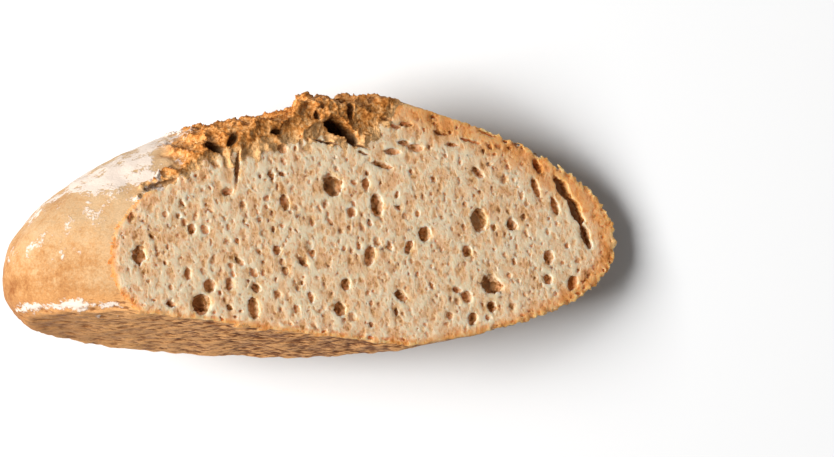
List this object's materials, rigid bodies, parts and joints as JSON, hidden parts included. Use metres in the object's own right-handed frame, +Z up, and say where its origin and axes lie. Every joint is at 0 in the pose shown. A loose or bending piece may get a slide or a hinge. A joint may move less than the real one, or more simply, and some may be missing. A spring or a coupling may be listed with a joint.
{
  "type": "cut hearth bread loaf",
  "caption": "Part of an oval hearth-baked bread loaf, cut at a slant, with open crumb, a floured crust and a torn score along its crown. It lies on its rear flank with the cut face up.",
  "frame": {"origin": "centre of the bounding box's footprint, on the surface that the piece lies on", "axes": "+X from the whole nose to the cut end, +Y from the baked underside to the crown, +Z up, the way the cut face looks"},
  "size_m": [0.2412, 0.1052, 0.1333],
  "materials": {
    "bread": "matt golden crust dusted with flour, and a cream crumb on the cut face"
  },
  "bodies": {
    "root": {"loaf": "bread"}
  },
  "joints": []
}
